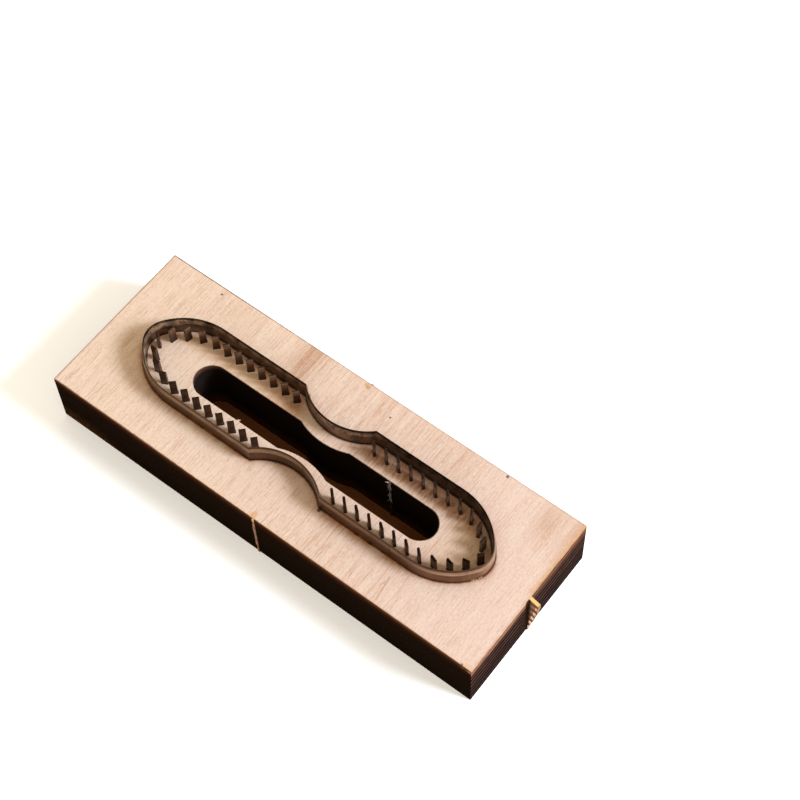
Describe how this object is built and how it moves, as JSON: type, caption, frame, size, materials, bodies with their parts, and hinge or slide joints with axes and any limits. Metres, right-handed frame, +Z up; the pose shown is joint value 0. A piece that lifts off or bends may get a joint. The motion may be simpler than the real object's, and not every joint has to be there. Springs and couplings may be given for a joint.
{
  "type": "leather cutting die",
  "caption": "Plywood board with a waisted steel knife outline, slanted stitch teeth inside it and a finger slot.",
  "frame": {"origin": "middle of the board's underside, below the centre of the knife outline", "axes": "+X along the board towards its end tab, +Y across the board, +Z up, the way the knife points"},
  "size_m": [0.1328, 0.047, 0.0238],
  "materials": {
    "plywood": "sanded, with laser-darkened edges",
    "knife_steel": "oiled blue-brown, satin",
    "tooth_steel": "oiled blue-brown, satin"
  },
  "bodies": {
    "root": {"die_board": "plywood", "knife_long_strip": "knife_steel", "knife_end_strip": "knife_steel", "tooth_01": "tooth_steel", "tooth_02": "tooth_steel", "tooth_03": "tooth_steel", "tooth_04": "tooth_steel", "tooth_05": "tooth_steel", "tooth_06": "tooth_steel", "tooth_07": "tooth_steel", "tooth_08": "tooth_steel", "tooth_09": "tooth_steel", "tooth_10": "tooth_steel", "tooth_11": "tooth_steel", "tooth_12": "tooth_steel", "tooth_13": "tooth_steel", "tooth_14": "tooth_steel", "tooth_15": "tooth_steel", "tooth_16": "tooth_steel", "tooth_17": "tooth_steel", "tooth_18": "tooth_steel", "tooth_19": "tooth_steel", "tooth_20": "tooth_steel", "tooth_21": "tooth_steel", "tooth_22": "tooth_steel", "tooth_23": "tooth_steel", "tooth_24": "tooth_steel", "tooth_25": "tooth_steel", "tooth_26": "tooth_steel", "tooth_27": "tooth_steel", "tooth_28": "tooth_steel", "tooth_29": "tooth_steel", "tooth_30": "tooth_steel", "tooth_31": "tooth_steel", "tooth_32": "tooth_steel", "tooth_33": "tooth_steel", "tooth_34": "tooth_steel", "tooth_35": "tooth_steel", "tooth_36": "tooth_steel", "tooth_37": "tooth_steel", "tooth_38": "tooth_steel", "tooth_39": "tooth_steel", "tooth_40": "tooth_steel", "tooth_41": "tooth_steel", "tooth_42": "tooth_steel", "tooth_43": "tooth_steel", "tooth_44": "tooth_steel", "tooth_45": "tooth_steel", "tooth_46": "tooth_steel"}
  },
  "joints": []
}
